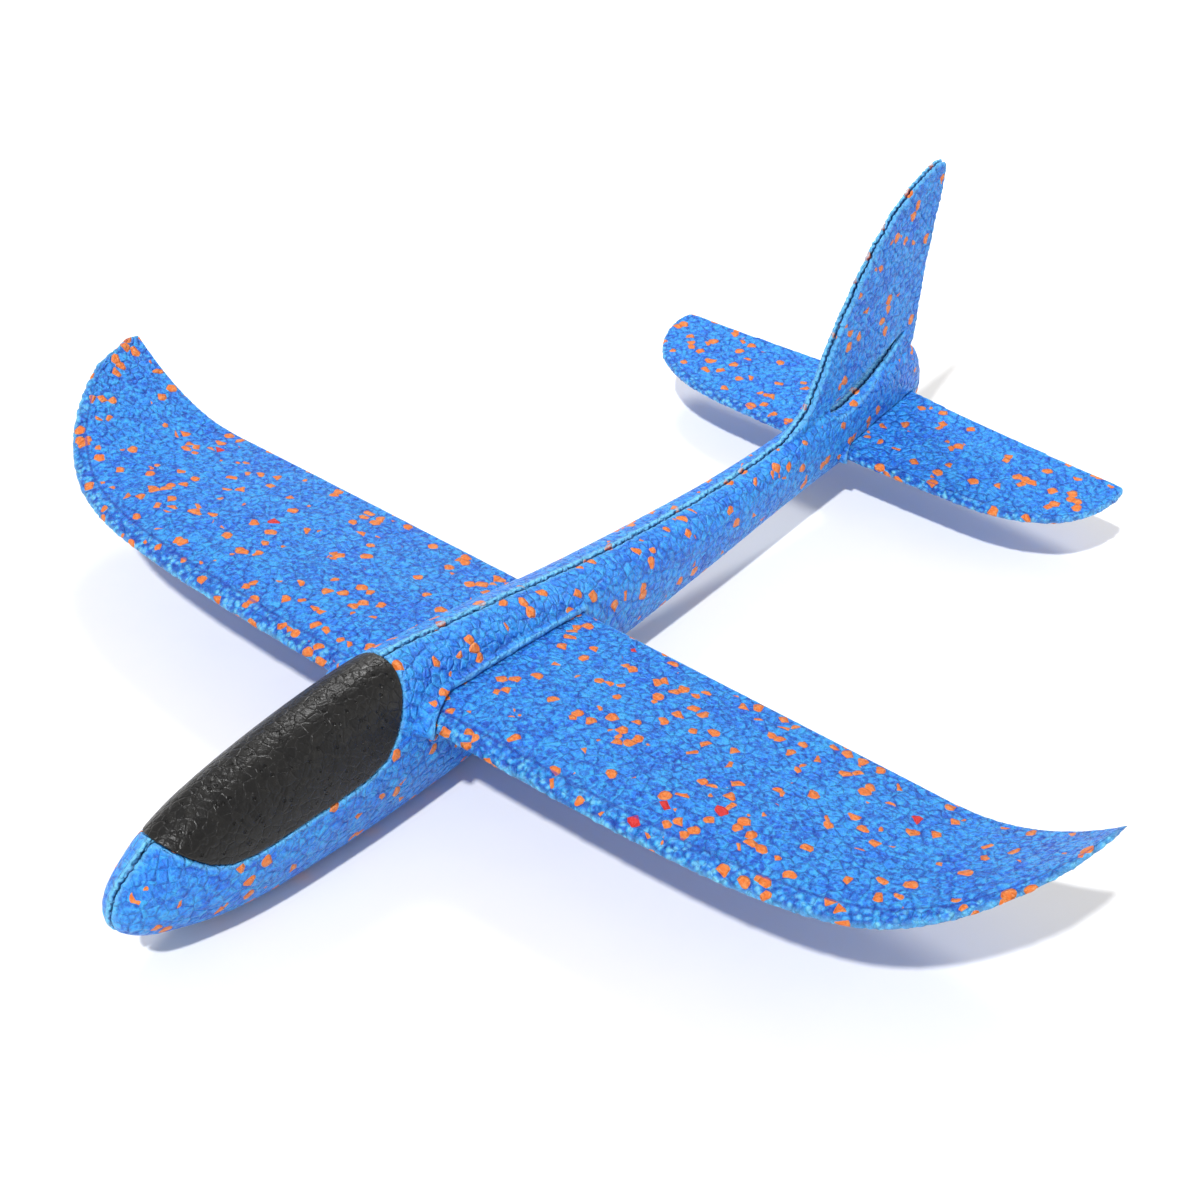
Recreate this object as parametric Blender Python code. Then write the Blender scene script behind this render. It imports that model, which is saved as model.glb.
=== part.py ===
"""A moulded bead-foam hand-throw glider, 480 mm span, as six separate pieces.

Run it with: blender --background --python part.py

The two fuselage halves are glued on the centre plane and carry the fin. The one-piece wing and
the one-piece tailplane push through slots in them. The canopy is a plug over the nose weight.

Lengths here are millimetres until a mesh is made, where MM turns them into metres.
+X points to the nose, +Y to the port (left) wing tip and +Z up. The belly rests on Z = 0.
"""
import math

import bmesh
import bpy
from mathutils import Vector

MM = 0.001

# Clearances between pieces
PUSH_FIT = 0.35
SEAM_HALF_GAP = 0.15

# Fuselage: one row per cross-section, nose to tail, as X, top Z, belly Z, half-width and how
# square the upper half of the section is (2 is an ellipse)
NOSE_TIP = (240.4, 25.5)
TAIL_END = (-240.4, 33.0)
BELLY_SQUARENESS = 2.4
BODY_RING_POINTS = 40
BODY_SECTIONS = [
    (239.9, 28.6, 22.4, 3.4, 2.2),
    (238.2, 32.6, 19.2, 5.9, 2.2),
    (234.2, 37.3, 15.8, 8.5, 2.2),
    (228.2, 41.8, 12.4, 10.7, 2.2),
    (219.5, 46.8, 9.2, 13.1, 2.2),
    (205.0, 52.2, 5.0, 16.2, 2.1),
    (187.0, 56.0, 1.9, 18.2, 2.1),
    (165.0, 59.6, 0.4, 19.3, 2.1),
    (143.0, 62.2, -0.4, 19.8, 2.1),
    (119.0, 63.8, -0.7, 19.5, 2.1),
    (90.0, 61.0, -0.2, 18.6, 2.2),
    (50.0, 55.9, 2.2, 17.2, 2.3),
    (20.0, 51.5, 4.6, 16.2, 2.5),
    (-15.0, 47.6, 7.6, 15.0, 2.8),
    (-50.0, 45.2, 10.4, 13.6, 3.0),
    (-85.0, 44.2, 13.0, 11.9, 3.0),
    (-120.0, 45.6, 15.2, 9.9, 3.0),
    (-150.0, 49.2, 16.6, 8.4, 2.9),
    (-180.0, 53.6, 17.6, 7.3, 2.8),
    (-210.0, 57.2, 18.6, 6.2, 2.6),
    (-226.5, 58.0, 20.0, 5.2, 2.5),
    (-232.8, 53.0, 22.0, 4.4, 2.4),
    (-237.4, 45.5, 25.0, 3.3, 2.3),
    (-239.8, 38.5, 28.6, 1.9, 2.2),
]
BODY_STEPS_PER_SECTION = 3

# Fin, moulded in one with the halves: its side outline, from the foot of the leading edge
FIN_FOOT_HALF_THICKNESS = 2.9
FIN_TIP_HALF_THICKNESS = 1.8
FIN_FOOT_Z = 50.0
FIN_TIP_Z = 145.6
FIN_EDGE_ROUNDING = 0.8
FIN_OUTLINE = [
    (-124.0, 40.0), (-130.0, 47.4), (-139.0, 50.8), (-145.2, 55.5), (-149.8, 62.5),
    (-154.8, 73.5), (-163.3, 89.8), (-173.8, 105.3), (-185.2, 119.8), (-197.3, 131.0),
    (-209.7, 138.8), (-220.6, 143.4), (-229.4, 145.6), (-234.7, 144.9), (-236.3, 140.5),
    (-235.1, 130.0), (-232.5, 115.0), (-230.2, 100.0), (-228.8, 86.0), (-228.1, 72.0),
    (-227.4, 61.0), (-222.0, 50.0), (-160.0, 38.0),
]

# Wing: the trailing edge is straight, and the leading edge is given as |Y|, X
SPAN = 480.0
WING_TRAILING_X = 22.5
WING_LEADING_EDGE = [
    (0.0, 115.6), (60.0, 115.0), (110.0, 113.4), (140.0, 110.8), (166.0, 106.2),
    (190.0, 97.6), (206.0, 87.8), (219.0, 76.0), (229.0, 62.5), (236.0, 48.5), (240.0, 31.0),
]
WING_HEIGHT = 40.4
WING_INCIDENCE = math.radians(1.2)
WING_CROWN_ABOVE = 5.4
WING_CROWN_BELOW = 3.4
WING_EDGE_HALF = 0.9
WING_MIN_THICKNESS_SHARE = 0.4
TIP_RISE = 26.0
TIP_RISE_STARTS = 180.0
WING_STATION_COUNT = 26

# Tailplane: a flat plate that slopes down to its leading edge; edges as |Y|, X
TAIL_LEADING_EDGE = [
    (0.0, -169.8), (44.0, -170.4), (70.0, -171.4), (85.0, -173.6), (98.0, -178.4),
    (108.0, -185.0), (114.5, -193.0), (118.5, -202.5), (120.0, -212.0),
]
TAIL_TRAILING_EDGE = [
    (0.0, -229.0), (30.0, -226.4), (60.0, -224.2), (100.0, -222.4), (114.0, -222.0),
    (118.5, -221.4), (120.0, -218.5),
]
TAIL_HEIGHT = 33.4
TAIL_SLOPE = math.radians(-8.0)
TAIL_HALF_THICKNESS = 2.5
TAIL_EDGE_HALF = 1.1
TAIL_MIN_THICKNESS_SHARE = 0.6
TAIL_SPAN = 240.0
TAIL_STATION_COUNT = 16

# Stations crowd towards the tips, and points of a section towards its leading edge
STATION_CROWDING = 1.6
SECTION_POINTS_PER_SIDE = 12

# Raised rims moulded round the slots, and the collars they swell into round the leading edges:
# each one's width, and how far from the centre it reaches at its back and at its front
WING_RIM_WIDTH = 2.8
WING_RIM_REACHES = (15.5, 19.6)
WING_COLLAR_WIDTH = 3.2
WING_COLLAR_LENGTH = 30.0
WING_COLLAR_REACHES = (17.0, 28.0)
TAIL_RIM_WIDTH = 1.8
TAIL_RIM_REACHES = (5.4, 7.4)
TAIL_COLLAR_WIDTH = 2.2
TAIL_COLLAR_LENGTH = 13.0
TAIL_COLLAR_REACHES = (6.0, 10.6)

# Upper tail slot: empty, steeper, for looping flight with the tailplane moved up
UPPER_SLOT = [
    (-160.4, 49.6), (-163.5, 46.8), (-173.0, 46.6), (-189.0, 50.4), (-204.0, 57.0),
    (-217.6, 67.4), (-218.6, 68.9), (-217.0, 69.0), (-204.0, 64.2), (-189.0, 59.4),
    (-173.0, 54.8), (-163.0, 52.0),
]

# Canopy: its lower edge seen from the side, front to back, closed above the body
CANOPY_OUTLINE = [
    (116.6, 61.0), (118.6, 56.5), (122.4, 50.0), (127.0, 43.5), (133.0, 37.4), (143.0, 34.4),
    (158.0, 33.4), (175.0, 32.8), (191.0, 31.8), (202.0, 33.0), (209.2, 36.4), (214.8, 40.8),
    (219.8, 45.4), (224.8, 50.5), (224.8, 80.0), (110.0, 80.0), (115.4, 66.0),
]
PLUG_X = (150.0, 201.0)
PLUG_HALF_WIDTH = 6.4
PLUG_TOP = 42.0

# Steel slug in a pocket under the canopy plug
SLUG_X = (174.0, 198.0)
SLUG_RADIUS = 5.0
SLUG_Z = 17.0
SLUG_GAP = 0.3

BLUE_FOAM = (0.045, 0.23, 0.78, 1.0)
BLACK_FOAM = (0.018, 0.018, 0.02, 1.0)
STEEL = (0.55, 0.55, 0.57, 1.0)
WIDER_THAN_BODY = 60.0


def clear_scene():
    for scene_object in list(bpy.data.objects):
        bpy.data.objects.remove(scene_object, do_unlink=True)


def make_material(name, colour, roughness, metallic):
    material = bpy.data.materials.new(name)
    material.use_nodes = True
    shader = material.node_tree.nodes["Principled BSDF"]
    shader.inputs["Base Color"].default_value = colour
    shader.inputs["Roughness"].default_value = roughness
    shader.inputs["Metallic"].default_value = metallic
    return material


def smooth_row(before, start, end, after, share):
    """One row between two rows of a table, on a curve through both (Catmull-Rom)."""
    row = []
    for p0, p1, p2, p3 in zip(before, start, end, after):
        row.append(0.5 * (2 * p1 + (p2 - p0) * share
                          + (2 * p0 - 5 * p1 + 4 * p2 - p3) * share ** 2
                          + (3 * p1 - p0 - 3 * p2 + p3) * share ** 3))
    return tuple(row)


def refine(rows, steps):
    """The rows of a table with smooth rows added between them."""
    fine = []
    for i in range(len(rows) - 1):
        before = rows[max(i - 1, 0)]
        after = rows[min(i + 2, len(rows) - 1)]
        for step in range(steps):
            fine.append(smooth_row(before, rows[i], rows[i + 1], after, step / steps))
    fine.append(tuple(rows[-1]))
    return fine


def look_up(table, key):
    """The value at a key in a table of (key, value) rows, read smoothly."""
    last = len(table) - 1
    for i in range(last):
        if key <= table[i + 1][0]:
            share = (key - table[i][0]) / (table[i + 1][0] - table[i][0])
            before = table[max(i - 1, 0)]
            after = table[min(i + 2, last)]
            return smooth_row(before, table[i], table[i + 1], after, share)[1]
    return table[last][1]


def grown(outline, distance):
    """A closed X-Z outline moved outwards by a distance, with mitred corners."""
    turn = sum(a[0] * b[1] - b[0] * a[1] for a, b in zip(outline, outline[1:] + outline[:1]))
    outward = 1 if turn > 0 else -1
    result = []
    for i, point in enumerate(outline):
        into = (Vector(point) - Vector(outline[i - 1])).normalized()
        out = (Vector(outline[(i + 1) % len(outline)]) - Vector(point)).normalized()
        normal_in = Vector((into.y, -into.x)) * outward
        normal_out = Vector((out.y, -out.x)) * outward
        mitre = (normal_in + normal_out) / (1 + normal_in.dot(normal_out))
        moved = Vector(point) + mitre * distance
        result.append((moved.x, moved.y))
    return result


def add_object(name, mesh_builder, material=None, smooth=True):
    """A Blender object from a bmesh in millimetres."""
    bmesh.ops.recalc_face_normals(mesh_builder, faces=mesh_builder.faces)
    bmesh.ops.scale(mesh_builder, vec=(MM, MM, MM), verts=mesh_builder.verts)
    mesh = bpy.data.meshes.new(name)
    mesh_builder.to_mesh(mesh)
    mesh_builder.free()
    for polygon in mesh.polygons:
        polygon.use_smooth = smooth
    if material:
        mesh.materials.append(material)
    new_object = bpy.data.objects.new(name, mesh)
    bpy.context.collection.objects.link(new_object)
    return new_object


def as_tool(tool_object):
    """Marks an object as a shape that others are joined to or cut with."""
    tool_object.hide_render = True
    tool_object.display_type = "WIRE"
    return tool_object


def add_boolean(target, operation, tool_object):
    modifier = target.modifiers.new(operation.lower() + "_" + tool_object.name, "BOOLEAN")
    modifier.operation = operation
    modifier.solver = "EXACT"
    modifier.object = tool_object


def loft(rings, first_tip=None, last_tip=None):
    """A closed skin through rings of points; each end is a fan to a tip, or a flat cap."""
    builder = bmesh.new()
    ring_vertices = [[builder.verts.new(point) for point in ring] for ring in rings]
    count = len(rings[0])
    for ring_a, ring_b in zip(ring_vertices, ring_vertices[1:]):
        for i in range(count):
            j = (i + 1) % count
            builder.faces.new((ring_a[i], ring_a[j], ring_b[j], ring_b[i]))
    for ring, tip in ((ring_vertices[0], first_tip), (ring_vertices[-1], last_tip)):
        if tip is None:
            builder.faces.new(ring)
            continue
        tip_vertex = builder.verts.new(tip)
        for i in range(count):
            builder.faces.new((ring[i], ring[(i + 1) % count], tip_vertex))
    return builder


def signed_power(value, power):
    return math.copysign(abs(value) ** power, value)


def body_ring(x, top, belly, half_width, squareness):
    """One rounded cross-section of the fuselage."""
    middle = (top + belly) / 2
    half_height = (top - belly) / 2
    ring = []
    for i in range(BODY_RING_POINTS):
        angle = 2 * math.pi * i / BODY_RING_POINTS
        power = 2 / (squareness if i < BODY_RING_POINTS / 2 else BELLY_SQUARENESS)
        y = half_width * signed_power(math.cos(angle), power)
        z = middle + half_height * signed_power(math.sin(angle), power)
        ring.append((x, y, z))
    return ring


def build_body(name, material=None):
    """The whole rounded fuselage, before the fin, rims and slots."""
    rings = [body_ring(*row) for row in refine(BODY_SECTIONS, BODY_STEPS_PER_SECTION)]
    builder = loft(rings, (NOSE_TIP[0], 0, NOSE_TIP[1]), (TAIL_END[0], 0, TAIL_END[1]))
    return add_object(name, builder, material)


def build_prism(name, outline, half_width):
    """An X-Z outline carried straight across the body."""
    rings = [[(x, y, z) for x, z in outline] for y in (-half_width, half_width)]
    return as_tool(add_object(name, loft(rings), smooth=False))


def build_wedge(name, outline, reaches):
    """An X-Z outline carried across to flat faces that stand wider at its front."""
    back_reach, front_reach = reaches
    back = min(x for x, z in outline)
    front = max(x for x, z in outline)
    rings = []
    for side in (-1, 1):
        ring = []
        for x, z in outline:
            share = (x - back) / (front - back)
            ring.append((x, side * (back_reach + (front_reach - back_reach) * share), z))
        rings.append(ring)
    return as_tool(add_object(name, loft(rings), smooth=False))


def front_part(outline, length):
    front = max(x for x, z in outline)
    return [(x, z) for x, z in outline if x > front - length]


def fin_half_thickness(z):
    share = (z - FIN_FOOT_Z) / (FIN_TIP_Z - FIN_FOOT_Z)
    return FIN_FOOT_HALF_THICKNESS + (FIN_TIP_HALF_THICKNESS - FIN_FOOT_HALF_THICKNESS) * share


def build_fin():
    rings = [[(x, side * fin_half_thickness(z), z) for x, z in FIN_OUTLINE] for side in (-1, 1)]
    fin = as_tool(add_object("fin_shape", loft(rings), smooth=False))
    rounding = fin.modifiers.new("edge_rounding", "BEVEL")
    rounding.width = FIN_EDGE_ROUNDING * MM
    rounding.segments = 2
    rounding.limit_method = "ANGLE"
    rounding.angle_limit = math.radians(60)
    return fin


def wing_half_heights(share):
    """Crown above and below the chord line, at a share of the chord from the leading edge."""
    crown_at = 0.24
    if share < crown_at:
        swell = (1 - (1 - share / crown_at) ** 2.1) ** (1 / 2.1)
        return WING_CROWN_ABOVE * swell, WING_CROWN_BELOW * swell
    fade = ((share - crown_at) / (1 - crown_at)) ** 1.5
    above = WING_CROWN_ABOVE + (WING_EDGE_HALF - WING_CROWN_ABOVE) * fade
    below = WING_CROWN_BELOW + (WING_EDGE_HALF - WING_CROWN_BELOW) * fade
    return above, below


def tail_half_heights(share):
    """Half-thickness of the plate, with a rounded leading edge and a thinned trailing edge."""
    rounded_until = 0.05
    flat_until = 0.4
    if share < rounded_until:
        half = TAIL_HALF_THICKNESS * (1 - (1 - share / rounded_until) ** 2) ** 0.5
    else:
        fade = max(share - flat_until, 0) / (1 - flat_until)
        half = TAIL_HALF_THICKNESS + (TAIL_EDGE_HALF - TAIL_HALF_THICKNESS) * fade
    return half, half


def plate_section(leading_x, trailing_x, slope, height_at, half_heights, thickness_share):
    """A closed X-Z outline: over the top from the leading edge, and back underneath."""
    chord = leading_x - trailing_x
    upper = []
    lower = []
    for i in range(1, SECTION_POINTS_PER_SIDE + 1):
        share = 1 - math.cos(0.5 * math.pi * i / SECTION_POINTS_PER_SIDE)
        x = leading_x - share * chord
        above, below = half_heights(share)
        middle = height_at[1] + math.tan(slope) * (x - height_at[0])
        upper.append((x, middle + above * thickness_share))
        lower.append((x, middle - below * thickness_share))
    front = (leading_x, height_at[1] + math.tan(slope) * (leading_x - height_at[0]))
    return [front] + upper + lower[::-1]


def wing_section(y):
    """The wing's outline at a distance from the centre, before the tip's rise."""
    leading_x = look_up(WING_LEADING_EDGE, y)
    root_chord = WING_LEADING_EDGE[0][1] - WING_TRAILING_X
    share = max((leading_x - WING_TRAILING_X) / root_chord, WING_MIN_THICKNESS_SHARE)
    anchor = (WING_TRAILING_X, WING_HEIGHT)
    return plate_section(leading_x, WING_TRAILING_X, WING_INCIDENCE, anchor,
                         wing_half_heights, share)


def tail_section(y):
    leading_x = look_up(TAIL_LEADING_EDGE, y)
    trailing_x = look_up(TAIL_TRAILING_EDGE, y)
    root_chord = TAIL_LEADING_EDGE[0][1] - TAIL_TRAILING_EDGE[0][1]
    share = max((leading_x - trailing_x) / root_chord, TAIL_MIN_THICKNESS_SHARE)
    anchor = (TAIL_TRAILING_EDGE[0][1], TAIL_HEIGHT)
    return plate_section(leading_x, trailing_x, TAIL_SLOPE, anchor, tail_half_heights, share)


def stations(span, count):
    """Distances from the centre, from the starboard tip to the port tip."""
    port = [span / 2 * (1 - (1 - i / count) ** STATION_CROWDING) for i in range(count + 1)]
    return [-y for y in reversed(port[1:])] + port


def tip_rise(y):
    return TIP_RISE * (max(y - TIP_RISE_STARTS, 0) / (SPAN / 2 - TIP_RISE_STARTS)) ** 2


def build_wing(material):
    rings = []
    for y in stations(SPAN, WING_STATION_COUNT):
        reach = abs(y)
        lean = math.atan((tip_rise(reach + 1) - tip_rise(reach - 1)) / 2)
        ring = []
        for x, z in wing_section(reach):
            middle = WING_HEIGHT + math.tan(WING_INCIDENCE) * (x - WING_TRAILING_X)
            inward = math.copysign((z - middle) * math.sin(lean), y)
            lifted = middle + (z - middle) * math.cos(lean) + tip_rise(reach)
            ring.append((x, y - inward, lifted))
        rings.append(ring)
    return add_object("main_wing", loft(rings), material)


def build_tailplane(material):
    rings = []
    for y in stations(TAIL_SPAN, TAIL_STATION_COUNT):
        rings.append([(x, y, z) for x, z in tail_section(abs(y))])
    return add_object("tailplane", loft(rings), material)


def build_box(name, low, high):
    outline = [(low[0], low[2]), (high[0], low[2]), (high[0], high[2]), (low[0], high[2])]
    rings = [[(x, y, z) for x, z in outline] for y in (low[1], high[1])]
    return as_tool(add_object(name, loft(rings), smooth=False))


def build_plug(name, clearance):
    """The block under the canopy that presses into the fuselage."""
    plug_bottom = SLUG_Z + SLUG_RADIUS + 2 * SLUG_GAP
    low = (PLUG_X[0] - clearance, -PLUG_HALF_WIDTH - clearance, plug_bottom - clearance / 2)
    high = (PLUG_X[1] + clearance, PLUG_HALF_WIDTH + clearance, PLUG_TOP)
    return build_box(name, low, high)


def build_slug_pocket():
    """A round-bottomed trough that is open upwards into the plug's socket."""
    radius = SLUG_RADIUS + SLUG_GAP
    across = [(radius * math.cos(a), SLUG_Z + radius * math.sin(a))
              for a in (math.pi + math.pi * i / 12 for i in range(13))]
    across += [(radius, PLUG_TOP - 12), (-radius, PLUG_TOP - 12)]
    rings = [[(x, y, z) for y, z in across] for x in (SLUG_X[0] - SLUG_GAP, SLUG_X[1] + SLUG_GAP)]
    return as_tool(add_object("slug_pocket", loft(rings), smooth=False))


def build_nose_weight(material):
    builder = bmesh.new()
    bmesh.ops.create_cone(builder, cap_ends=True, segments=28, radius1=SLUG_RADIUS,
                          radius2=SLUG_RADIUS, depth=SLUG_X[1] - SLUG_X[0])
    bmesh.ops.bevel(builder, geom=[edge for edge in builder.edges if edge.calc_face_angle() > 1],
                    offset=0.5, segments=1, affect="EDGES", profile=0.5)
    weight = add_object("nose_weight", builder, material, smooth=False)
    weight.rotation_euler = (0, math.pi / 2, 0)
    weight.location = Vector(((SLUG_X[0] + SLUG_X[1]) / 2, 0, SLUG_Z)) * MM
    return weight


def build_fuselage(material):
    """Both halves are the same whole body, each cut off at the centre plane."""
    wing_collar = front_part(grown(wing_section(0), WING_COLLAR_WIDTH), WING_COLLAR_LENGTH)
    tail_collar = front_part(grown(tail_section(0), TAIL_COLLAR_WIDTH), TAIL_COLLAR_LENGTH)
    joined = [
        build_fin(),
        build_wedge("wing_rim", grown(wing_section(0), WING_RIM_WIDTH), WING_RIM_REACHES),
        build_wedge("wing_collar", wing_collar, WING_COLLAR_REACHES),
        build_wedge("tail_rim", grown(tail_section(0), TAIL_RIM_WIDTH), TAIL_RIM_REACHES),
        build_wedge("tail_collar", tail_collar, TAIL_COLLAR_REACHES),
    ]
    removed = [
        build_prism("wing_slot", grown(wing_section(0), PUSH_FIT), WIDER_THAN_BODY),
        build_prism("tail_slot", grown(tail_section(0), PUSH_FIT), WIDER_THAN_BODY),
        build_prism("upper_slot", UPPER_SLOT, WIDER_THAN_BODY),
        build_prism("canopy_recess", grown(CANOPY_OUTLINE, PUSH_FIT), WIDER_THAN_BODY),
        build_plug("plug_socket", PUSH_FIT),
        build_slug_pocket(),
        build_box("belly_flat", (-300, -50, -20), (300, 50, 0)),
    ]
    far = 300.0
    for name, side in (("fuselage_left", 1), ("fuselage_right", -1)):
        half = build_body(name, material)
        for shape in joined:
            add_boolean(half, "UNION", shape)
        for shape in removed:
            add_boolean(half, "DIFFERENCE", shape)
        edges = sorted((side * SEAM_HALF_GAP, -side * WIDER_THAN_BODY))
        other_half = build_box(name + "_cut", (-far, edges[0], -far), (far, edges[1], far))
        add_boolean(half, "DIFFERENCE", other_half)


def build_canopy(material):
    canopy = build_body("canopy", material)
    add_boolean(canopy, "INTERSECT", build_prism("canopy_shape", CANOPY_OUTLINE, WIDER_THAN_BODY))
    add_boolean(canopy, "UNION", build_plug("canopy_plug", 0))
    return canopy


def main():
    clear_scene()
    blue_foam = make_material("blue_bead_foam", BLUE_FOAM, 0.5, 0.0)
    black_foam = make_material("black_foam", BLACK_FOAM, 0.45, 0.0)
    steel = make_material("plain_steel", STEEL, 0.35, 1.0)
    build_fuselage(blue_foam)
    build_canopy(black_foam)
    build_wing(blue_foam)
    build_tailplane(blue_foam)
    build_nose_weight(steel)


main()
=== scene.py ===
"""The looks of the moulded bead-foam hand glider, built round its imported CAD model.

Each foam piece takes its shape from its CAD node: the solid is re-skinned evenly, its edges are
eased as moulding eases them, and the pressed beads are raised as real relief. The same cell
pattern then colours the beads, so relief and colour agree. Lengths are metres.
"""

import math

import bpy
import numpy as np
from mathutils import Matrix, Vector


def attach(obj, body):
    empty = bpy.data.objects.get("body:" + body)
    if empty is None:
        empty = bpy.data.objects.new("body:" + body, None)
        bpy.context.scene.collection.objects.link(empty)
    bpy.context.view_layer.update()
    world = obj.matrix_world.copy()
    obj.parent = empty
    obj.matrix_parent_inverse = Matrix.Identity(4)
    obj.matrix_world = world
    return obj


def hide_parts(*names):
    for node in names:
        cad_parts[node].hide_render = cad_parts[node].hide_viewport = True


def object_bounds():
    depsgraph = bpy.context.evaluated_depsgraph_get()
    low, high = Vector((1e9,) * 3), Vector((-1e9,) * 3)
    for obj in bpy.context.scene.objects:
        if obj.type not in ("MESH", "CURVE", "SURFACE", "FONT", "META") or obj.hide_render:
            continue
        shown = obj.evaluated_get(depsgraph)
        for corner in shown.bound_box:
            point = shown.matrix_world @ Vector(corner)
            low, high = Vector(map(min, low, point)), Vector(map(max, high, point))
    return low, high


MM = 0.001

# Pressed beads: their size, how far and how often their walls wander, and the range of heights
# of their domes as shares of the relief
BEAD_PITCH = 3.7 * MM
WALL_WANDER = 0.55 * MM
WALL_WANDER_SCALE = 420.0
LOWEST_DOME = 0.55
HIGHEST_DOME = 1.15

# Small round blisters on the puffed beads along leading edges and the seam
BLISTER_PITCH = 2.6 * MM

# Even skin of each piece: voxel size, passes of easing, and how far the solid is thickened while
# it is re-skinned, so that its thinnest edges aren't lost
SKINS = {
    "fuselage_left": (0.825 * MM, 5, 0),
    "fuselage_right": (0.825 * MM, 5, 0),
    "main_wing": (0.97 * MM, 4, 0.45 * MM),
    "tailplane": (0.62 * MM, 5, 0),
    "canopy": (0.60 * MM, 6, 0),
}
EASING = 0.5

# Relief of the beads: everywhere, and on the puffed beads
BEAD_RELIEF = 0.10 * MM
PUFFED_RELIEF = 0.34 * MM
CANOPY_RELIEF = 0.04 * MM

# How far back from a leading edge, or out from the seam, the beads are puffed
WING_PUFFED_BAND = 12 * MM
TAIL_PUFFED_BAND = 5 * MM
SEAM_PUFFED_BAND = 3.2 * MM
SEAM_PUFFED = 0.8

# Strips across the half span in which the foremost point of a leading edge is found
EDGE_STRIPS = 60

# How far a point stands off its neighbours where an edge or a hollow counts as full
FULL_BEND = 0.20 * MM
BEND_REACH = 3
BEND_LIMIT = 2

# Where the wing's collar swells into the fuselage, and how much it is softened
COLLAR_MIDDLE = np.array((108.0, 25.0, 46.0)) * MM
COLLAR_REACH = 22 * MM
COLLAR_PASSES = 26

# Seam between the fuselage halves: a wandering, scalloped line, sunk, with a raised starboard lip
SEAM_REACH = 6.0 * MM
SEAM_WANDER = 0.16 * MM
SEAM_WANDER_LENGTH = 23.0 * MM
SCALLOP_DEPTH = 0.36 * MM
SCALLOP_LENGTHS = (3.3 * MM, 5.2 * MM)
SCALLOP_MIDDLE = 0.5
SEAM_LIP_RAISE = 0.55 * MM
SEAM_LIP_WIDTH = 2.2 * MM
# Strength of the painted highlight on the lip
SEAM_LIP_HIGHLIGHT = 0.55
SEAM_GROOVE = 0.25 * MM
SEAM_GROOVE_HALF_WIDTH = 0.9 * MM
# Half width and strength of the painted shade along the seam's groove
SEAM_LINE_HALF_WIDTH = 0.40 * MM
SEAM_SHADE_DARKNESS = 0.8

# Blue foam of each part: share of orange beads, strength of the crinkles (their bumps and their
# painted light and shade), darkness of the walls
FUSELAGE_FOAM = (0.068, 0.65, 0.42)
WING_FOAM = (0.115, 1.0, 0.55)
TAIL_FOAM = (0.098, 0.9, 0.50)

# Share of red beads. A bead cut further from its middle than the reach shows no orange sliver
RED_SHARE = 0.0009
FLECK_REACH = 0.70

# Fineness of the skin's markings, in waves per metre
CRINKLE_SCALE = 560.0
PATCH_SCALE = 60.0
WALL_BREAK_SCALE = 180.0
CANOPY_SKIN_SCALE = 520.0
PIT_SCALE = 420.0
FLOOR_GRAIN_SCALE = 40.0

# Turning marks of the steel slug: fine along its axis and long round it
STEEL_MARK_SCALE = 2500.0
STEEL_MARK_STRETCH = (1.0, 0.05, 0.05)

# Depth of the fine bumps, and how strongly light glances off each surface
FOAM_BUMP = 0.55 * MM
CANOPY_BUMP = 0.40 * MM
STEEL_BUMP = 0.05 * MM
STEEL_BUMP_STRENGTH = 0.3
FOAM_SPECULAR = 0.5
CANOPY_SPECULAR = 0.36
STEEL_SPECULAR = 0.5
FLOOR_SPECULAR = 0.1
FLOOR_ROUGHNESS = 0.9

# Colours
DEEP_BLUE = (0.002, 0.038, 0.42, 1)
MID_BLUE = (0.009, 0.190, 0.92, 1)
PALE_BLUE = (0.05, 0.49, 1.0, 1)
# Painted highlight colour, on blister tops, outer edges and the seam's lip
HIGHLIGHT_BLUE = (0.20, 0.68, 1.0, 1)
SHADE_NAVY = (0.001, 0.018, 0.16, 1)
ORANGE = (0.84, 0.185, 0.022, 1)
ORANGE_HIGHLIGHT = (0.90, 0.30, 0.08, 1)
RED = (0.72, 0.025, 0.025, 1)
BLACK_FOAM = (0.006, 0.006, 0.0065, 1)
GREY_FOAM = (0.024, 0.023, 0.0215, 1)
# Painted shade in the canopy's pits and hollows
SHADE_BLACK = (0.001, 0.001, 0.001, 1)
DARK_STEEL = (0.42, 0.42, 0.44, 1)
BRIGHT_STEEL = (0.62, 0.61, 0.60, 1)
FLOOR_SHADE = (0.90, 0.90, 0.90, 1)
FLOOR_PALE = (0.93, 0.93, 0.93, 1)

# Studio: half the floor's width, the light from all round, and each light's name, kind,
# direction from the object, energy and size (the sun's size is an angle)
FLOOR_HALF_WIDTH = 40.0
WORLD_COLOUR = (1.0, 0.97, 0.93, 1)
WORLD_STRENGTH = 0.45
LIGHT_DISTANCE = 1.6
LIGHTS = (
    ("key", "SUN", (0.557, 0.146, 0.816), 2.7, math.radians(3)),
    ("rim", "AREA", (-0.454, -0.502, 0.738), 11.0, 0.45),
    ("side", "AREA", (-0.62, 0.70, 0.36), 3.6, 1.4),
)

# Camera: where it stands from the middle of the object's box, its direction, roll and lens
CAMERA_FROM_MIDDLE = Vector((0.5244, 0.4086, 0.4138))
CAMERA_AZIMUTH = math.radians(127.57)
CAMERA_ELEVATION = math.radians(34.55)
CAMERA_ROLL = math.radians(3.3)
CAMERA_LENS_MM = 61.275
CAMERA_SENSOR_MM = 36.0
CAMERA_CLIP_START = 0.01

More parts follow.
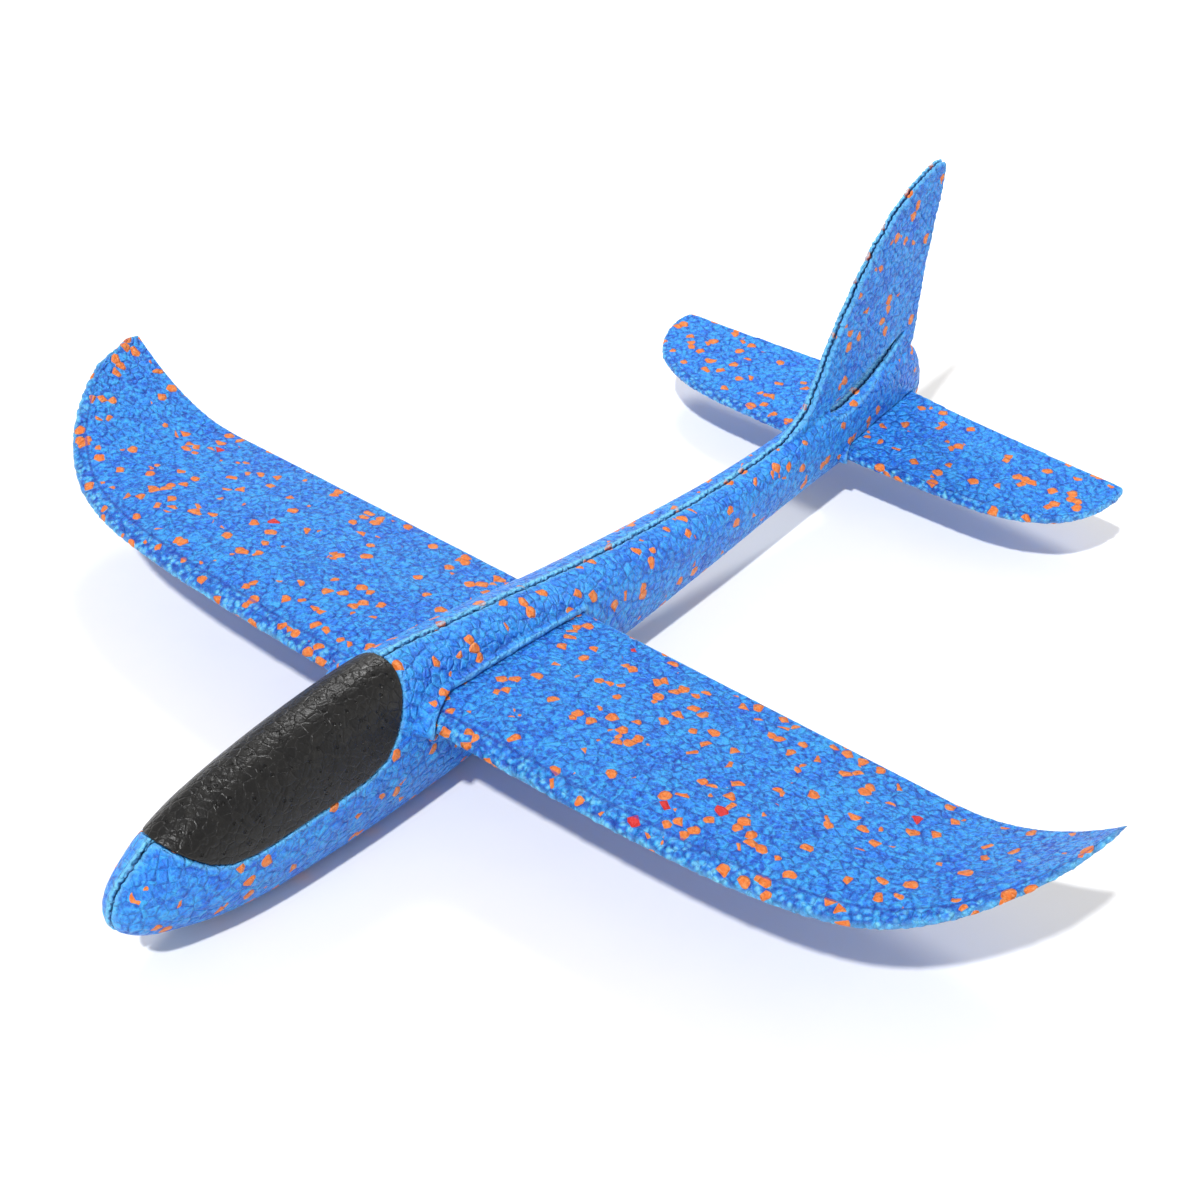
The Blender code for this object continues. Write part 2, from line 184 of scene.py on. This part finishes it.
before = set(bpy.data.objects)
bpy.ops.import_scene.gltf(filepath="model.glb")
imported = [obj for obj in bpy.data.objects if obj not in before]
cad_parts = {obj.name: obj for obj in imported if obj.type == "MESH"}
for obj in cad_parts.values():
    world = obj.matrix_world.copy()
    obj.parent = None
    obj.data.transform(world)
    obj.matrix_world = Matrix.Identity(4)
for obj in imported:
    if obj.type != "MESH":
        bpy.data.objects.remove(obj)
cad_box = [list(corner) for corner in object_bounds()]


# ---------------------------------------------------------------- node helpers

def add_node(tree, kind, inputs=None, **settings):
    """A node with its settings made and its sockets set or linked."""
    node = tree.nodes.new(kind)
    for key, value in settings.items():
        setattr(node, key, value)
    for key, value in (inputs or {}).items():
        if isinstance(value, bpy.types.NodeSocket):
            tree.links.new(value, node.inputs[key])
        else:
            node.inputs[key].default_value = value
    return node


def math_node(tree, operation, *values):
    inputs = dict(enumerate(values))
    return add_node(tree, "ShaderNodeMath", inputs, operation=operation).outputs[0]


def product(tree, first, second):
    return math_node(tree, "MULTIPLY", first, second)


def weighted_sum(tree, terms):
    """The sum of values, each with its weight."""
    total = 0.0
    for value, weight in terms:
        total = math_node(tree, "MULTIPLY_ADD", value, weight, total)
    return total


def vector_math(tree, operation, first, second):
    """The vector that an operation gives, or the number that a dot product gives."""
    socket = "Scale" if operation == "SCALE" else 1
    node = add_node(tree, "ShaderNodeVectorMath", {0: first, socket: second}, operation=operation)
    return node.outputs["Value" if operation == "DOT_PRODUCT" else "Vector"]


def map_range(tree, value, low, high, to_low=0.0, to_high=1.0):
    """The value carried smoothly from one range to another, and held beyond its ends."""
    inputs = {"Value": value, "From Min": low, "From Max": high, "To Min": to_low, "To Max": to_high}
    node = add_node(tree, "ShaderNodeMapRange", inputs, interpolation_type="SMOOTHSTEP")
    return node.outputs["Result"]


def mix_colour(tree, factor, first, second):
    inputs = {0: factor, 6: first, 7: second}
    return add_node(tree, "ShaderNodeMix", inputs, data_type="RGBA").outputs[2]


def tinted(tree, colour, tints):
    """The colour after some tints: the value that drives each, where it starts and where it is
    full, its share when full, and its colour."""
    for value, start, full, share, tint in tints:
        colour = mix_colour(tree, map_range(tree, value, start, full, 0.0, share), colour, tint)
    return colour


def noise(tree, position, scale, detail=2.0, roughness=0.5):
    inputs = {"Vector": position, "Scale": scale, "Detail": detail, "Roughness": roughness}
    return add_node(tree, "ShaderNodeTexNoise", inputs)


def split_colour(tree, colour):
    return add_node(tree, "ShaderNodeSeparateColor", {"Color": colour}).outputs


def stored(tree, name):
    """A number stored on the mesh, read by a material."""
    return add_node(tree, "ShaderNodeAttribute", attribute_name=name).outputs["Fac"]


def bead_cells(tree, position):
    """The pressed beads at a position: a random colour for each, the distances to its wall and
    to its middle, and the height of its tilted face."""
    half = (0.5, 0.5, 0.5)
    wander = noise(tree, position, WALL_WANDER_SCALE, 1.0).outputs["Color"]
    shift = vector_math(tree, "SCALE", vector_math(tree, "SUBTRACT", wander, half), WALL_WANDER)
    place = vector_math(tree, "ADD", position, shift)
    pattern = {"Vector": place, "Scale": 1 / BEAD_PITCH}
    bead = add_node(tree, "ShaderNodeTexVoronoi", pattern)
    wall = add_node(tree, "ShaderNodeTexVoronoi", pattern, feature="DISTANCE_TO_EDGE")
    from_middle = vector_math(tree, "SUBTRACT", place, bead.outputs["Position"])
    slope = vector_math(tree, "SUBTRACT", bead.outputs["Color"], half)
    rise = vector_math(tree, "DOT_PRODUCT", from_middle, slope)
    tilt = product(tree, rise, 1 / BEAD_PITCH)
    return bead.outputs["Color"], wall.outputs["Distance"], bead.outputs["Distance"], tilt


def new_material(name, specular):
    material = bpy.data.materials.new(name)
    material.use_nodes = True
    tree = material.node_tree
    shader = tree.nodes["Principled BSDF"]
    shader.inputs["Specular IOR Level"].default_value = specular
    position = add_node(tree, "ShaderNodeTexCoord").outputs["Object"]
    return material, tree, shader, position


def finish_shader(tree, shader, colour, roughness, height, bump_depth, bump_strength=1.0):
    """Gives the shader its colour, its roughness and its fine bumps."""
    inputs = {"Height": height, "Strength": bump_strength, "Distance": bump_depth}
    bump = add_node(tree, "ShaderNodeBump", inputs)
    tree.links.new(colour, shader.inputs["Base Color"])
    tree.links.new(roughness, shader.inputs["Roughness"])
    tree.links.new(bump.outputs["Normal"], shader.inputs["Normal"])


# ---------------------------------------------------------------- materials

def bead_foam(name, fleck_share, crinkle, wall_shade, seamed=False):
    """Blue moulded bead foam with orange and a few red beads among the blue."""
    material, tree, shader, position = new_material(name, FOAM_SPECULAR)
    random, wall, to_middle, tilt = bead_cells(tree, position)
    pick, shade, hue = split_colour(tree, random)[:3]
    puffed = stored(tree, "puffed")
    crinkles = noise(tree, position, CRINKLE_SCALE, 4.0, 0.62).outputs["Fac"]
    pattern = {"Vector": position, "Scale": 1 / BLISTER_PITCH}
    from_blister = add_node(tree, "ShaderNodeTexVoronoi", pattern).outputs["Distance"]

    colour = crinkled_blue(tree, position, shade, tilt, crinkles, crinkle)
    colour = blistered(tree, colour, from_blister, puffed, hue)
    colour = walled(tree, colour, position, wall, wall_shade)
    # Painted highlight on outer edges and painted shade in hollows
    colour = edge_highlight_and_hollow_shade(tree, colour, HIGHLIGHT_BLUE, 0.45, SHADE_NAVY)
    colour = flecked(tree, colour, pick, to_middle, crinkles, fleck_share)
    # Painted shade where the band of puffed beads ends
    colour = band_edge_shade(tree, colour, puffed)
    if seamed:
        colour = seam_colours(tree, position, colour)

    worn = map_range(tree, crinkles, 0.3, 0.75, 0.46, 0.27)
    roughness = weighted_sum(tree, ((worn, 1.0), (puffed, -0.07)))
    dome = map_range(tree, wall, 0.0, 0.20)
    blister = product(tree, map_range(tree, from_blister, 0.62, 0.0), puffed)
    height = weighted_sum(tree, ((dome, 1.1), (crinkles, 4.0 * crinkle), (tilt, 2.4), (blister, 1.8)))
    finish_shader(tree, shader, colour, roughness, height, FOAM_BUMP)
    return material


def crinkled_blue(tree, position, shade, tilt, crinkles, crinkle):
    """Beads of differing blue, with paler patches, a painted lit side and a painted shaded side to
    each, and painted light on the flats and painted shade in the creases of the pressed skin."""
    patches = noise(tree, position, PATCH_SCALE, 3.0, 0.55).outputs["Fac"]
    return tinted(tree, MID_BLUE, (
        (shade, 0.0, 1.0, 0.32, PALE_BLUE),
        (patches, 0.35, 0.7, 0.30, PALE_BLUE),
        # Painted light on one side of each bead's tilted face, and painted shade on the other side
        (tilt, 0.03, 0.20, 0.55, PALE_BLUE),
        (tilt, -0.03, -0.20, 0.36, DEEP_BLUE),
        # Painted light on the flats of the crinkles, and painted shade in their creases
        (crinkles, 0.50, 0.66, 0.85 * crinkle, PALE_BLUE),
        (crinkles, 0.50, 0.36, 0.68 * crinkle, DEEP_BLUE),
    ))


def blistered(tree, colour, from_blister, puffed, hue):
    """Painted shade between the blisters and painted glints on their tops, where beads are puffed."""
    # Painted shade in the gaps between blisters
    gap_shade = product(tree, map_range(tree, from_blister, 0.42, 0.72, 0.0, 0.7), puffed)
    colour = mix_colour(tree, gap_shade, colour, DEEP_BLUE)
    # Painted glints on the blisters' tops
    top = product(tree, map_range(tree, from_blister, 0.52, 0.24), puffed)
    top_glint = product(tree, top, map_range(tree, hue, 0.1, 1.0, 0.4, 1.0))
    return mix_colour(tree, top_glint, colour, HIGHLIGHT_BLUE)


def walled(tree, colour, position, wall, wall_shade):
    """Thin broken dark lines where the walls between beads show."""
    breaks = noise(tree, position, WALL_BREAK_SCALE, 1.0).outputs["Fac"]
    line = product(tree, map_range(tree, wall, 0.07, 0.015, 0.0, wall_shade),
                   map_range(tree, breaks, 0.35, 0.6))
    return mix_colour(tree, line, colour, DEEP_BLUE)


def flecked(tree, colour, pick, to_middle, crinkles, fleck_share):
    """Orange beads, where they are cut near their middle, with painted light on the crinkles' flats,
    and a few red ones.
    """
    # Painted light paling the orange on the crinkles' flats
    orange = mix_colour(tree, map_range(tree, crinkles, 0.4, 0.65), ORANGE, ORANGE_HIGHLIGHT)
    is_picked = math_node(tree, "GREATER_THAN", pick, 1 - fleck_share)
    is_whole = math_node(tree, "LESS_THAN", to_middle, FLECK_REACH)
    colour = mix_colour(tree, product(tree, is_picked, is_whole), colour, orange)
    is_red = math_node(tree, "LESS_THAN", pick, RED_SHARE)
    return mix_colour(tree, is_red, colour, RED)


def band_edge_shade(tree, colour, puffed):
    """Painted shade in a line where the band of puffed beads ends."""
    inner = map_range(tree, puffed, 0.26, 0.36, 0.0, 0.6)
    outer = map_range(tree, puffed, 0.50, 0.40)
    return mix_colour(tree, product(tree, inner, outer), colour, DEEP_BLUE)


def edge_highlight_and_hollow_shade(tree, colour, highlight_colour, highlight_share, hollow_shade_colour):
    """Painted highlight on the skin's convex edges and painted shade in its hollows, from the
    bend stored on the mesh.
    """
    bend = stored(tree, "bend")
    return tinted(tree, colour, (
        (bend, 0.25, 1.0, highlight_share, highlight_colour),
        (bend, -0.3, -1.1, 0.9, hollow_shade_colour),
    ))


def seam_offset(tree, position):
    """How far a position lies to port of the seam, which wanders as seam_wave moves it."""
    x, y, z = add_node(tree, "ShaderNodeSeparateXYZ", {0: position}).outputs
    along = math_node(tree, "SUBTRACT", x, z)
    turn = product(tree, along, 2 * math.pi / SEAM_WANDER_LENGTH)
    wave = product(tree, math_node(tree, "SINE", turn), SEAM_WANDER)
    for length in SCALLOP_LENGTHS:
        swing = math_node(tree, "SINE", product(tree, along, math.pi / length))
        scallop = math_node(tree, "SUBTRACT", math_node(tree, "ABSOLUTE", swing), SCALLOP_MIDDLE)
        wave = math_node(tree, "MULTIPLY_ADD", scallop, SCALLOP_DEPTH, wave)
    return math_node(tree, "SUBTRACT", y, wave)


def seam_colours(tree, position, colour):
    """Painted shade in a line along the seam's groove, and a painted highlight on its starboard lip.
    """
    offset = seam_offset(tree, position)
    starboard = product(tree, offset, -1.0)
    width = SEAM_LINE_HALF_WIDTH
    # Painted highlight on the raised starboard lip
    lip = product(tree, map_range(tree, starboard, width, 2 * width, 0.0, SEAM_LIP_HIGHLIGHT),
                  map_range(tree, starboard, SEAM_LIP_WIDTH, 0.6 * SEAM_LIP_WIDTH))
    colour = mix_colour(tree, lip, colour, HIGHLIGHT_BLUE)
    # Painted shade along the groove
    away = math_node(tree, "ABSOLUTE", offset)
    return tinted(tree, colour, (
        (away, 1.5 * width, 0.6 * width, SEAM_SHADE_DARKNESS, SHADE_NAVY),
    ))


def black_bead_foam():
    """Black foam of the canopy: a satin skin with small pits where beads meet, in painted shade."""
    material, tree, shader, position = new_material("canopy_foam", CANOPY_SPECULAR)
    random, wall, _, tilt = bead_cells(tree, position)
    shade = split_colour(tree, random)[1]
    skin = noise(tree, position, CANOPY_SKIN_SCALE, 4.0, 0.6).outputs["Fac"]
    grey = math_node(tree, "ADD", map_range(tree, shade, 0.0, 1.0, 0.0, 0.25),
                     map_range(tree, skin, 0.5, 0.75, 0.0, 0.5))
    pits = pit_mask(tree, position)
    colour = mix_colour(tree, grey, BLACK_FOAM, GREY_FOAM)
    # Painted shade in the pits
    colour = mix_colour(tree, pits, colour, SHADE_BLACK)
    # Painted highlight on the canopy's edges and painted shade in its hollows
    colour = edge_highlight_and_hollow_shade(tree, colour, GREY_FOAM, 0.8, SHADE_BLACK)

    roughness = map_range(tree, skin, 0.3, 0.7, 0.40, 0.27)
    dome = map_range(tree, wall, 0.0, 0.12)
    height = weighted_sum(tree, ((dome, 0.25), (skin, 0.9), (tilt, 0.6), (pits, -2.5)))
    finish_shader(tree, shader, colour, roughness, height, CANOPY_BUMP)
    return material


def pit_mask(tree, position):
    """Small round pits, one in a few of the cells of a fine pattern."""
    spots = add_node(tree, "ShaderNodeTexVoronoi", {"Vector": position, "Scale": PIT_SCALE})
    pick = split_colour(tree, spots.outputs["Color"])[0]
    is_pit = math_node(tree, "GREATER_THAN", pick, 0.62)
    return product(tree, map_range(tree, spots.outputs["Distance"], 0.34, 0.20), is_pit)


def brushed_steel():
    """Plain cut bar: turning marks round it, and a little dullness."""
    material, tree, shader, position = new_material("slug_steel", STEEL_SPECULAR)
    shader.inputs["Metallic"].default_value = 1.0
    stretching = {"Vector": position, "Scale": STEEL_MARK_STRETCH}
    stretched = add_node(tree, "ShaderNodeMapping", stretching).outputs[0]
    marks = noise(tree, stretched, STEEL_MARK_SCALE, 3.0).outputs["Fac"]
    colour = mix_colour(tree, marks, DARK_STEEL, BRIGHT_STEEL)
    roughness = map_range(tree, marks, 0.3, 0.7, 0.28, 0.48)
    finish_shader(tree, shader, colour, roughness, marks, STEEL_BUMP, STEEL_BUMP_STRENGTH)
    return material


# ---------------------------------------------------------------- meshes

def apply_modifiers(piece):
    """The piece's mesh becomes what its modifiers make of it."""
    graph = bpy.context.evaluated_depsgraph_get()
    mesh = bpy.data.meshes.new_from_object(piece.evaluated_get(graph))
    piece.modifiers.clear()
    piece.data = mesh


def fine_skin(node, name):
    """A new piece with the solid's shape, in small even faces with eased edges."""
    voxel, passes, thickening = SKINS[node]
    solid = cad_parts[node]
    piece = bpy.data.objects.new(name, solid.data.copy())
    bpy.context.scene.collection.objects.link(piece)
    swell = piece.modifiers.new("thickened", "DISPLACE")
    swell.strength = thickening
    swell.mid_level = 0
    skin = piece.modifiers.new("even_skin", "REMESH")
    skin.mode = "VOXEL"
    skin.voxel_size = voxel * 1.0
    skin.use_smooth_shade = True
    settle = piece.modifiers.new("on_the_solid", "SHRINKWRAP")
    settle.target = solid
    ease = piece.modifiers.new("eased_edges", "SMOOTH")
    ease.factor = EASING
    ease.iterations = passes
    apply_modifiers(piece)
    return piece


def read_vectors(elements, key):
    values = np.zeros(len(elements) * 3, np.float32)
    elements.foreach_get(key, values)
    return values.reshape(-1, 3).astype(float)


def read_points(piece):
    return read_vectors(piece.data.vertices, "co")


def read_normals(piece):
    return read_vectors(piece.data.vertex_normals, "vector")


def write_points(piece, points):
    piece.data.vertices.foreach_set("co", points.astype(np.float32).ravel())
    piece.data.update()


def store(piece, name, values):
    """Stores a number for each point, for the relief and the colours."""
    attribute = piece.data.attributes.new(name, "FLOAT", "POINT")
    attribute.data.foreach_set("value", values.astype(np.float32))


def fade(distance, reach):
    """1 at no distance, smoothly down to 0 at the reach."""
    share = np.clip(1 - distance / reach, 0, 1)
    return share * share * (3 - 2 * share)


def seam_wave(points):
    """How far the seam wanders sideways, along the line that runs round the side view."""
    along = points[:, 0] - points[:, 2]
    wander = SEAM_WANDER * np.sin(2 * math.pi * along / SEAM_WANDER_LENGTH)
    swings = [np.abs(np.sin(math.pi * along / length)) for length in SCALLOP_LENGTHS]
    return wander + SCALLOP_DEPTH * sum(swing - SCALLOP_MIDDLE for swing in swings)


def shape_seam(piece, lip_raise):
    """Lets the seam wander, sinks a groove along it and raises a lip on one side."""
    points = read_points(piece)
    from_seam = np.abs(points[:, 1])
    in_plane = read_normals(piece) * np.array((1.0, 0.0, 1.0))
    lift = lip_raise * fade(from_seam, SEAM_REACH)
    lift -= SEAM_GROOVE * fade(from_seam, SEAM_GROOVE_HALF_WIDTH)
    points += in_plane * lift[:, None]
    points[:, 1] += seam_wave(points) * fade(from_seam, SEAM_REACH)
    write_points(piece, points)


def neighbour_mean(piece):
    """A function that gives each point the mean of its neighbours' values."""
    ends = np.zeros(len(piece.data.edges) * 2, np.int32)
    piece.data.edges.foreach_get("vertices", ends)
    first, second = ends.reshape(-1, 2).T
    point_count = len(piece.data.vertices)
    count = np.maximum(np.bincount(ends, minlength=point_count), 1)

    def mean(values):
        total = np.bincount(first, values[second], point_count)
        return (total + np.bincount(second, values[first], point_count)) / count

    return lambda values: np.apply_along_axis(mean, 0, values)


def mark_bend(piece):
    """Stores how the skin bends at each point: over 0 on outer edges, under 0 in hollows."""
    points = read_points(piece)
    around = neighbour_mean(piece)
    middle = points
    for _ in range(BEND_REACH):
        middle = around(middle)
    bend = ((points - middle) * read_normals(piece)).sum(1) / FULL_BEND
    bend = around(around(bend))
    store(piece, "bend", np.clip(bend, -BEND_LIMIT, BEND_LIMIT))


def round_collar(piece):
    """Melts the corners of the collar where the wing's leading edge leaves the fuselage."""
    points = read_points(piece)
    around = neighbour_mean(piece)
    mirrored = np.stack([points[:, 0], np.abs(points[:, 1]), points[:, 2]], 1)
    share = fade(np.linalg.norm(mirrored - COLLAR_MIDDLE, axis=1), COLLAR_REACH)[:, None]
    for _ in range(COLLAR_PASSES):
        points += share * (around(points) - points)
    write_points(piece, points)


def behind_leading_edge(piece):
    """How far each point lies behind the foremost point at its own distance out."""
    points = read_points(piece)
    out = np.abs(points[:, 1])
    steps = np.linspace(0, out.max(), EDGE_STRIPS)
    strip = np.clip(np.digitize(out, steps) - 1, 0, len(steps) - 1)
    foremost = np.full(len(steps), -np.inf)
    np.maximum.at(foremost, strip, points[:, 0])
    foremost[~np.isfinite(foremost)] = points[:, 0].min()
    return np.interp(out, steps, foremost) - points[:, 0]


def relief_tree(name, flat_relief, puffed_relief):
    """Geometry nodes that raise each bead inside its walls, more where it is puffed."""
    tree = bpy.data.node_groups.new(name, "GeometryNodeTree")
    tree.interface.new_socket("Geometry", in_out="INPUT", socket_type="NodeSocketGeometry")
    tree.interface.new_socket("Geometry", in_out="OUTPUT", socket_type="NodeSocketGeometry")
    entry = tree.nodes.new("NodeGroupInput")
    leave = tree.nodes.new("NodeGroupOutput")
    position = tree.nodes.new("GeometryNodeInputPosition").outputs[0]
    normal = tree.nodes.new("GeometryNodeInputNormal").outputs[0]
    puffed = add_node(tree, "GeometryNodeInputNamedAttribute", {"Name": "puffed"},
                      data_type="FLOAT").outputs["Attribute"]
    random, wall, _, _ = bead_cells(tree, position)
    shade = add_node(tree, "FunctionNodeSeparateColor", {0: random}).outputs[1]
    full_height = map_range(tree, shade, 0.0, 1.0, LOWEST_DOME, HIGHEST_DOME)
    height = product(tree, map_range(tree, wall, 0.0, 0.28), full_height)
    reach = map_range(tree, puffed, 0.0, 1.0, flat_relief, puffed_relief)
    lift = product(tree, math_node(tree, "SUBTRACT", height, 0.5), reach)
    offset = vector_math(tree, "SCALE", normal, lift)
    moved = add_node(tree, "GeometryNodeSetPosition",
                     {"Geometry": entry.outputs[0], "Offset": offset})
    tree.links.new(moved.outputs[0], leave.inputs[0])
    return tree


def raise_beads(piece, tree):
    mark_bend(piece)
    relief = piece.modifiers.new("bead_relief", "NODES")
    relief.node_group = tree
    apply_modifiers(piece)
    piece.data.polygons.foreach_set("use_smooth", [True] * len(piece.data.polygons))


def dress(piece, material, body, node):
    piece.data.materials.clear()
    piece.data.materials.append(material)
    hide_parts(node)
    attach(piece, body)


def build_fuselage(relief):
    """The two halves, with a raised, puffed lip along the seam on the starboard one."""
    foam = bead_foam("fuselage_foam", *FUSELAGE_FOAM, seamed=True)
    for node, lip_raise, most_puffed in (("fuselage_left", 0.0, 0.0),
                                         ("fuselage_right", SEAM_LIP_RAISE, SEAM_PUFFED)):
        piece = fine_skin(node, node + "_foam")
        round_collar(piece)
        shape_seam(piece, lip_raise)
        from_seam = np.abs(read_points(piece)[:, 1])
        store(piece, "puffed", most_puffed * fade(from_seam, SEAM_PUFFED_BAND))
        raise_beads(piece, relief)
        dress(piece, foam, "fuselage", node)


def build_flat_surface(node, body, relief, material, band):
    """The wing or the tailplane, with puffed beads along its leading edge."""
    piece = fine_skin(node, node + "_foam")
    store(piece, "puffed", fade(behind_leading_edge(piece), band))
    raise_beads(piece, relief)
    dress(piece, material, body, node)


def build_canopy(relief):
    """The black canopy, none of whose beads is puffed."""
    piece = fine_skin("canopy", "canopy_foam")
    store(piece, "puffed", np.zeros(len(piece.data.vertices)))
    raise_beads(piece, relief)
    dress(piece, black_bead_foam(), "canopy_plug", "canopy")


def finish_nose_weight():
    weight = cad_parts["nose_weight"]
    weight.data.materials.clear()
    weight.data.materials.append(brushed_steel())


# ---------------------------------------------------------------- studio

def build_floor():
    """A plain pale floor at the level of the lowest point of the foam."""
    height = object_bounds()[0][2]
    signs = ((-1, -1), (1, -1), (1, 1), (-1, 1))
    corners = [(FLOOR_HALF_WIDTH * x, FLOOR_HALF_WIDTH * y, height) for x, y in signs]
    mesh = bpy.data.meshes.new("floor")
    mesh.from_pydata(corners, [], [(0, 1, 2, 3)])
    floor = bpy.data.objects.new("floor", mesh)
    bpy.context.scene.collection.objects.link(floor)
    material, tree, shader, position = new_material("pale_floor", FLOOR_SPECULAR)
    shader.inputs["Roughness"].default_value = FLOOR_ROUGHNESS
    grain = noise(tree, position, FLOOR_GRAIN_SCALE).outputs["Fac"]
    tree.links.new(mix_colour(tree, grain, FLOOR_SHADE, FLOOR_PALE), shader.inputs["Base Color"])
    mesh.materials.append(material)


def add_light(name, kind, direction, energy, size):
    """A light that shines on the middle of the object from a direction."""
    data = bpy.data.lights.new(name, kind)
    data.energy = energy
    if kind == "SUN":
        data.angle = size
    else:
        data.shape = "DISK"
        data.size = size
    light = bpy.data.objects.new(name, data)
    towards = Vector(direction).normalized()
    light.location = towards * LIGHT_DISTANCE
    light.rotation_mode = "QUATERNION"
    light.rotation_quaternion = towards.to_track_quat("Z", "Y")
    bpy.context.scene.collection.objects.link(light)


def build_lights():
    world = bpy.data.worlds.new("studio")
    world.use_nodes = True
    background = world.node_tree.nodes["Background"]
    background.inputs["Color"].default_value = WORLD_COLOUR
    background.inputs["Strength"].default_value = WORLD_STRENGTH
    bpy.context.scene.world = world
    for light in LIGHTS:
        add_light(*light)


def build_camera():
    low, high = (Vector(corner) for corner in cad_box)
    data = bpy.data.cameras.new("camera")
    data.lens = CAMERA_LENS_MM
    data.sensor_width = CAMERA_SENSOR_MM
    data.clip_start = CAMERA_CLIP_START
    camera = bpy.data.objects.new("camera", data)
    back = Vector((math.sin(CAMERA_AZIMUTH) * math.cos(CAMERA_ELEVATION),
                   -math.cos(CAMERA_AZIMUTH) * math.cos(CAMERA_ELEVATION),
                   math.sin(CAMERA_ELEVATION)))
    level = Vector((math.cos(CAMERA_AZIMUTH), math.sin(CAMERA_AZIMUTH), 0))
    up = back.cross(level)
    right = level * math.cos(CAMERA_ROLL) + up * math.sin(CAMERA_ROLL)
    up = back.cross(right)
    place = Matrix((right, up, back)).transposed().to_4x4()
    place.translation = (low + high) / 2 + CAMERA_FROM_MIDDLE
    camera.matrix_world = place
    bpy.context.scene.collection.objects.link(camera)
    bpy.context.scene.camera = camera


foam_relief = relief_tree("bead_relief", BEAD_RELIEF, PUFFED_RELIEF)
canopy_relief = relief_tree("canopy_relief", CANOPY_RELIEF, CANOPY_RELIEF)
build_fuselage(foam_relief)
wing_foam = bead_foam("wing_foam", *WING_FOAM)
build_flat_surface("main_wing", "wing", foam_relief, wing_foam, WING_PUFFED_BAND)
tail_foam = bead_foam("tail_foam", *TAIL_FOAM)
build_flat_surface("tailplane", "tail", foam_relief, tail_foam, TAIL_PUFFED_BAND)
build_canopy(canopy_relief)
finish_nose_weight()
build_floor()
build_lights()
build_camera()
bpy.context.scene.view_settings.view_transform = "Standard"
